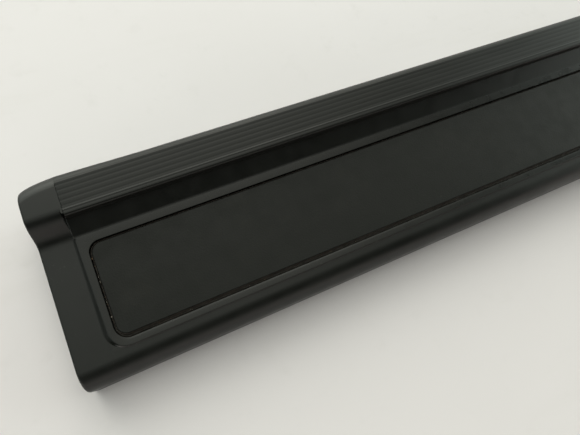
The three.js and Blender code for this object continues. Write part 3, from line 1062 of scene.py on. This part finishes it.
def soft_block(name, node, radius, edge, spacing, sway, seed):
    """Cut foam or felt: a slab with rounded edges that wander a little, inside the CAD solid.

    The last two loops go in further than the tapes' end radius; the tapes' lower faces show marks.
    """
    lo, hi = mm_box(node)
    half, depth = (hi.x - lo.x) / 2, (hi.y - lo.y) / 2
    cx, cy = (hi.x + lo.x) / 2, (hi.y + lo.y) / 2
    levels = [(0.05, hi.z), (0.0, hi.z - 0.2)]
    for i in range(6):
        turn = math.pi / 2 * i / 5
        levels.append((edge * (1 - math.cos(turn)), lo.z + edge * (1 - math.sin(turn))))
    path = dense_path(half, -depth, depth, radius, spacing)
    side = wander(seed, len(path), 0.0, sway, 0.4)
    under = wander(seed + 1, len(path), 0.0, sway, 0.6)
    loops = []
    for inset, z in levels:
        share = (hi.z - z) / (hi.z - lo.z)
        loops.append(
            [
                (
                    cx + p.x - n.x * (inset + side[i] * share),
                    cy + p.y - n.y * (inset + side[i] * share),
                    z + under[i] * share * share,
                )
                for i, (p, n) in enumerate(path)
            ]
        )
    for inset in (edge + 0.5, edge + 1.0):
        loops.append(
            [
                (cx + p.x - n.x * inset, cy + p.y - n.y * inset, lo.z + under[i] * 0.5)
                for i, (p, n) in enumerate(path)
            ]
        )
    made = loft(name, loops)
    finish_mesh(made, 60)
    return made


# ---- Node materials ----
class Tree:
    """A node tree, with short calls to add nodes to it."""

    def __init__(self, tree):
        self.tree = tree

    def add(self, kind, inputs=None, **settings):
        node = self.tree.nodes.new(kind)
        for key, value in settings.items():
            setattr(node, key, value)
        for key, value in (inputs or {}).items():
            if isinstance(value, bpy.types.NodeSocket):
                self.tree.links.new(value, node.inputs[key])
            else:
                node.inputs[key].default_value = value
        return node

    def span(self, value, low, high, to_low=0.0, to_high=1.0):
        return self.add(
            "ShaderNodeMapRange",
            {
                "Value": value,
                "From Min": low,
                "From Max": high,
                "To Min": to_low,
                "To Max": to_high,
            },
            interpolation_type="SMOOTHSTEP",
        ).outputs["Result"]

    def math(self, operation, a, b=0.0):
        return self.add(
            "ShaderNodeMath", {0: a, 1: b}, operation=operation
        ).outputs[0]

    def colour_mix(self, share, a, b):
        node = self.tree.nodes.new("ShaderNodeMix")
        node.data_type = "RGBA"
        for socket, value in ((node.inputs[0], share), (node.inputs[6], a), (node.inputs[7], b)):
            if isinstance(value, bpy.types.NodeSocket):
                self.tree.links.new(value, socket)
            else:
                socket.default_value = value
        return node.outputs[2]


class Nodes(Tree):
    """A material's node tree."""

    def __init__(self, name):
        self.material = bpy.data.materials.new(name)
        self.material.use_nodes = True
        super().__init__(self.material.node_tree)
        self.shader = self.tree.nodes["Principled BSDF"]
        self.place = self.tree.nodes.new("ShaderNodeTexCoord").outputs["Object"]

    def stretched(self, stretch):
        if not stretch:
            return self.place
        inputs = {"Vector": self.place, "Scale": stretch}
        return self.add("ShaderNodeMapping", inputs).outputs[0]

    def noise(self, scale, detail=4.0, roughness=0.55, stretch=None):
        return self.add(
            "ShaderNodeTexNoise",
            {
                "Vector": self.stretched(stretch),
                "Scale": scale,
                "Detail": detail,
                "Roughness": roughness,
            },
        ).outputs["Fac"]

    def cells(self, scale, feature="F1"):
        inputs = {"Vector": self.place, "Scale": scale}
        return self.add("ShaderNodeTexVoronoi", inputs, feature=feature).outputs["Distance"]

    def bump(self, height, distance, strength=1.0, normal=None):
        inputs = {"Height": height, "Distance": distance, "Strength": strength}
        if normal is not None:
            inputs["Normal"] = normal
        return self.add("ShaderNodeBump", inputs).outputs["Normal"]

    def axis(self, name):
        parts = self.add("ShaderNodeSeparateXYZ", {"Vector": self.place})
        return parts.outputs[name]

    def output(self, colour=None, roughness=None, normal=None, **fixed):
        for key, value in (("Base Color", colour), ("Roughness", roughness), ("Normal", normal)):
            if value is None:
                continue
            if isinstance(value, bpy.types.NodeSocket):
                self.tree.links.new(value, self.shader.inputs[key])
            else:
                self.shader.inputs[key].default_value = value
        for key, value in fixed.items():
            self.shader.inputs[key.replace("_", " ")].default_value = value
        return self.material


def rgb(r, g, b):
    return (r, g, b, 1.0)


def band_share(n):
    """1 on the raised band round the inlay, 0 elsewhere; the band is more polished than its surroundings."""
    across = n.span(n.math("ABSOLUTE", n.axis("X")), (FRAME_END - 0.4) * MM, (FRAME_END - 1.6) * MM)
    along = n.axis("Y")
    front = n.span(along, (FRAME_FRONT + 0.1) * MM, (FRAME_FRONT + 0.7) * MM)
    back = n.span(along, (FRAME_BACK + 0.1) * MM, (FRAME_BACK - 0.3) * MM)
    return n.math("MULTIPLY", n.math("MULTIPLY", across, front), back)


def moulded_plastic():
    n = Nodes("moulded_plastic")
    band = band_share(n)
    cloud = n.noise(28, 3)
    colour = n.colour_mix(cloud, rgb(0.0022, 0.0028, 0.0020), rgb(0.0042, 0.0048, 0.0036))
    dust = n.span(n.noise(900, 2), 0.62, 0.78)
    patch = n.span(n.noise(60, 4), 0.45, 0.75)
    colour = n.colour_mix(
        n.math("MULTIPLY", n.math("MULTIPLY", dust, patch), 0.22), colour, rgb(0.09, 0.085, 0.075)
    )
    rough = n.span(n.noise(140, 5), 0.3, 0.7, 0.36, 0.44)
    rough = n.math("SUBTRACT", rough, n.math("MULTIPLY", band, 0.12))
    grain = n.noise(5200, 3)
    pits = n.cells(3600)
    normal = n.bump(grain, 0.00003, 0.5)
    normal = n.bump(pits, 0.00002, 0.35, normal)
    scratch = n.noise(260, 2, stretch=(0.12, 3.2, 1.0))
    normal = n.bump(n.span(scratch, 0.66, 0.7), 0.00001, 0.25, normal)
    return n.output(colour, rough, normal, Specular_IOR_Level=0.34)


def strip_plastic():
    n = Nodes("strip_plastic")
    cloud = n.noise(40, 3, stretch=(0.3, 1, 1))
    colour = n.colour_mix(cloud, rgb(0.0024, 0.0030, 0.0022), rgb(0.0046, 0.0052, 0.0040))
    rough = n.span(n.noise(160, 5, stretch=(0.15, 1, 1)), 0.3, 0.7, 0.34, 0.46)
    drawn = n.noise(2600, 3, stretch=(0.03, 1, 1))
    normal = n.bump(drawn, 0.00002, 0.4)
    scuffs = n.noise(900, 2, stretch=(1.0, 0.06, 1))
    normal = n.bump(n.span(scuffs, 0.7, 0.74), 0.00001, 0.5, normal)
    return n.output(colour, rough, normal, Specular_IOR_Level=0.28)


def inlay_material():
    n = Nodes("inlay_leathergrain")
    cloud = n.noise(35, 3)
    colour = n.colour_mix(cloud, rgb(0.0034, 0.0040, 0.0030), rgb(0.0056, 0.0062, 0.0048))
    lint = n.span(n.cells(260), 0.075, 0.035)
    sparse = n.span(n.noise(90, 3), 0.56, 0.66)
    lint = n.math("MULTIPLY", n.math("MULTIPLY", lint, sparse), 0.3)
    colour = n.colour_mix(lint, colour, rgb(0.075, 0.07, 0.055))
    film = n.math("MULTIPLY", n.span(n.noise(48, 6, 0.7), 0.5, 0.75), 0.03)
    colour = n.colour_mix(film, colour, rgb(0.12, 0.11, 0.09))
    cells = n.cells(1500, "SMOOTH_F1")
    fine = n.noise(3800, 4)
    rough = n.span(n.noise(120, 4), 0.3, 0.7, 0.52, 0.62)
    normal = n.bump(cells, 0.00008, 0.5)
    normal = n.bump(fine, 0.00003, 0.5, normal)
    return n.output(colour, rough, normal, Specular_IOR_Level=0.25)


def adhesive_material():
    n = Nodes("adhesive_film")
    cloud = n.noise(260, 4)
    colour = n.colour_mix(cloud, rgb(0.010, 0.008, 0.006), rgb(0.034, 0.026, 0.019))
    rough = n.span(n.noise(500, 3), 0.3, 0.7, 0.55, 0.8)
    normal = n.bump(n.noise(2600, 4), 0.00006, 0.8)
    return n.output(colour, rough, normal)


def nylon_material():
    n = Nodes("clip_nylon")
    colour = n.colour_mix(n.noise(220, 3), rgb(0.70, 0.67, 0.57), rgb(0.80, 0.78, 0.70))
    rough = n.span(n.noise(600, 3), 0.3, 0.7, 0.38, 0.5)
    normal = n.bump(n.noise(3500, 3), 0.00002, 0.4)
    return n.output(colour, rough, normal, Subsurface_Weight=0.15, Subsurface_Scale=0.001)


def foam_material(name, dark, light, scale):
    n = Nodes(name)
    cells = n.cells(scale)
    colour = n.colour_mix(n.span(cells, 0.1, 0.6), dark, light)
    normal = n.bump(cells, 0.00025, 0.9)
    normal = n.bump(n.noise(scale * 2, 4), 0.00008, 0.6, normal)
    return n.output(colour, 0.92, normal)


def felt_material():
    n = Nodes("felt")
    fibre = n.noise(1500, 6, 0.7, stretch=(1, 3.5, 1))
    cross = n.noise(1700, 6, 0.7, stretch=(3.5, 1, 1))
    both = n.math("MAXIMUM", fibre, cross)
    colour = n.colour_mix(n.span(both, 0.4, 0.75), rgb(0.03, 0.03, 0.032), rgb(0.13, 0.13, 0.135))
    normal = n.bump(both, 0.0003, 0.9)
    return n.output(colour, 0.95, normal, Sheen_Weight=0.3, Sheen_Roughness=0.6)


def table_material():
    n = Nodes("white_table")
    fleck = n.span(n.noise(85, 4, 0.6), 0.55, 0.8)
    soft = n.span(n.noise(7, 4), 0.35, 0.7)
    streak = n.span(n.noise(16, 5, 0.6, stretch=(0.25, 1.6, 1)), 0.52, 0.72)
    colour = n.colour_mix(n.math("MULTIPLY", fleck, 0.5), rgb(0.876, 0.838, 0.860), rgb(0.788, 0.756, 0.766))
    colour = n.colour_mix(n.math("MULTIPLY", soft, 0.5), colour, rgb(0.832, 0.794, 0.810))
    colour = n.colour_mix(n.math("MULTIPLY", streak, 0.45), colour, rgb(0.799, 0.766, 0.766))
    # Painted shade: the table's colour gets darker towards the front of the plate and the viewer, standing in for the
    # plate's soft shadow on the floor there.
    painted_front_shade = n.span(n.axis("Y"), 0.06, -0.1)
    colour = n.colour_mix(n.math("MULTIPLY", painted_front_shade, 0.55), colour, rgb(0.723, 0.684, 0.695))
    return n.output(colour, 0.6, n.bump(n.noise(400, 3), 0.0001, 0.1), Specular_IOR_Level=0.2)


# ---- Pieces ----
def place(piece, material, body, slot, *nodes):
    piece.data.materials.clear()
    piece.data.materials.append(material)
    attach(piece, body)
    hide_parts(*nodes)
    return piece


place(sill_moulding(), moulded_plastic(), "plate", "moulded_plastic", "sill_moulding")
place(ribbed_strip(), strip_plastic(), "plate", "strip_plastic", "ribbed_strip")
place(inlay_plate(), inlay_material(), "plate", "inlay", "inlay_plate")
place(adhesive(), adhesive_material(), "plate", "adhesive_film", "inlay_adhesive")

place(crumbs(), crumb_material(), "plate", "adhesive_film")

nylon = nylon_material()
washer_foam = foam_material(
    "washer_foam", rgb(0.012, 0.013, 0.015), rgb(0.045, 0.047, 0.052), 2600
)
tape_foam = foam_material("tape_foam", rgb(0.02, 0.02, 0.021), rgb(0.07, 0.07, 0.073), 1800)
for (clip, seal, body), x in zip(CLIPS, CLIP_X):
    place(clip_mesh(clip + "_fine", x), nylon, body, "clip_nylon", clip)
    place(seal_mesh(seal + "_fine", seal), washer_foam, body, "seal_foam", seal)

for number, node in enumerate(("front_foam_tape", "rear_foam_tape")):
    tape = soft_block(
        node + "_fine", node, radius=0.6, edge=0.5, spacing=2.5, sway=0.16, seed=TAPE_SEED + number
    )
    place(tape, tape_foam, "plate", "foam", node)
felt = felt_material()
for number in range(1, 5):
    node = "felt_pad_%d" % number
    pad = soft_block(
        node + "_fine", node, radius=1.5, edge=0.45, spacing=0.6, sway=0.14, seed=PAD_SEED + number
    )
    place(pad, felt, "plate", "felt", node)

# ---- Floor ----
FLOOR_REACH = 6.0
FLOOR_DROP = 0.0002
floor_mesh = bpy.data.meshes.new("table_top")
floor_mesh.from_pydata(
    [
        (x * FLOOR_REACH, y * FLOOR_REACH, 0)
        for x, y in ((-1, -1), (1, -1), (1, 1), (-1, 1))
    ],
    [],
    [(0, 1, 2, 3)],
)
floor = new_object("table_top", floor_mesh)
floor.location.z = cad_box[0].z - FLOOR_DROP
floor.data.materials.append(table_material())


# ---- Light: a dome, brightest behind the plate, dark in front, shaped to fit reflections ----
# (angle back from straight up, in degrees; brightness as a share of DOME_PEAK)
DOME_PEAK = 4.2
DOME = [
    (-90, 0.30), (-80, 0.31), (-70, 0.29), (-62, 0.13), (-54, 0.05), (-46, 0.01),
    (-28, 0.003), (-18, 0.015), (-9, 0.13), (2, 0.275), (16, 0.29), (29, 0.34),
    (38, 0.51), (46, 0.80), (56, 1.0), (76, 0.95), (83, 0.40), (90, 0.26),
]
# Share left where the dome is dimmed, by direction
LEFT_FADE = 0.12
WINDOW_FADE = 0.4
RIGHT_FADE = 0.28
# Brightness added low at the sides
RIGHT_LOW_FILL = 3.4
RIGHT_FRONT_FILL = 0.9
LEFT_FRONT_FILL = 3.0
MIDDLE_TINT = rgb(0.99, 1.0, 0.90)
SIDE_TINT = rgb(0.91, 1.0, 0.92)
LOW_FRONT_TINT = rgb(1.0, 0.9, 0.84)


def studio_dome():
    world = bpy.data.worlds.new("studio")
    world.use_nodes = True
    sky = Tree(world.node_tree)
    direction = sky.add("ShaderNodeTexCoord").outputs["Generated"]
    parts = sky.add("ShaderNodeSeparateXYZ", {"Vector": direction})
    x, y, z = (parts.outputs[k] for k in ("X", "Y", "Z"))
    back = sky.math("ARCTAN2", y, sky.math("MAXIMUM", z, 0.0))
    place = sky.math("ADD", sky.math("MULTIPLY", back, 1 / math.pi), 0.5)
    ramp = sky.add("ShaderNodeValToRGB", {"Fac": place})
    ramp.color_ramp.interpolation = "EASE"
    points = ramp.color_ramp.elements
    while len(points) > 1:
        points.remove(points[-1])
    for number, (angle, level) in enumerate(DOME):
        at = angle / 180 + 0.5
        point = points[0] if number == 0 else points.new(at)
        point.position = at
        point.color = (level, level, level, 1)
    dome = sky.math("MULTIPLY", ramp.outputs["Color"], DOME_PEAK)
    near_horizon = sky.span(z, 0.16, 0.06)
    left = sky.math("MAXIMUM", sky.span(x, -0.8, -0.45, LEFT_FADE, 1.0), near_horizon)
    dome = sky.math("MULTIPLY", dome, left)
    window = sky.span(x, -0.55, -0.25, WINDOW_FADE, 1.0)
    window_end = sky.math("MAXIMUM", window, sky.span(back, 0.65, 0.5))
    dome = sky.math("MULTIPLY", dome, sky.math("MAXIMUM", window_end, near_horizon))
    dome = sky.math("MULTIPLY", dome, sky.span(x, 0.25, 0.68, 1.0, RIGHT_FADE))

    def patch(level, *shares):
        value = level
        for share in shares:
            value = sky.math("MULTIPLY", share, value)
        return value

    above = sky.span(z, 0.03, 0.14)
    right = patch(RIGHT_LOW_FILL, sky.span(x, 0.8, 0.93), above, sky.span(z, 0.54, 0.4))
    right_front = patch(
        RIGHT_FRONT_FILL, sky.span(x, 0.25, 0.7), above, sky.span(y, -0.3, -0.6), sky.span(z, 0.28, 0.14)
    )
    left_front = patch(
        LEFT_FRONT_FILL, sky.span(x, -0.5, -0.75), above, sky.span(y, -0.1, -0.35), sky.span(z, 0.42, 0.25)
    )
    level = dome
    for value in (right, right_front, left_front):
        level = sky.math("ADD", level, value)
    aside = sky.math("MAXIMUM", sky.span(x, 0.0, -0.6), sky.span(x, 0.5, 0.75))
    tint = sky.colour_mix(aside, MIDDLE_TINT, SIDE_TINT)
    ahead_low = sky.math("MULTIPLY", sky.span(y, -0.2, -0.5), sky.span(z, 0.4, 0.15))
    background = sky.tree.nodes["Background"]
    colour = sky.colour_mix(ahead_low, tint, LOW_FRONT_TINT)
    sky.tree.links.new(colour, background.inputs["Color"])
    sky.tree.links.new(level, background.inputs["Strength"])
    bpy.context.scene.world = world


studio_dome()

# ---- Camera, at the photograph's viewing angle ----
VIEW_POINT = Vector((-END + 47.89, FRONT - 8.83, TREAD + 178.03)) * MM
RIGHT = Vector((0.9020, -0.4035, 0.1535))
UP = Vector((0.3446, 0.8871, 0.3071))
FORWARD = Vector((0.2601, 0.2241, -0.9392))
LENS = 27.31
SENSOR_WIDTH = 36

camera_data = bpy.data.cameras.new("camera")
camera_data.lens = LENS
camera_data.sensor_width = SENSOR_WIDTH
camera_data.clip_start = 0.005
camera_data.clip_end = 30
camera = bpy.data.objects.new("camera", camera_data)
bpy.context.scene.collection.objects.link(camera)
turn = Matrix((RIGHT, UP, -FORWARD)).transposed()
camera.rotation_mode = "QUATERNION"
camera.location = VIEW_POINT
camera.rotation_quaternion = turn.to_quaternion()
bpy.context.scene.camera = camera
bpy.context.scene.view_settings.view_transform = "Standard"
bpy.context.scene.view_settings.look = "None"
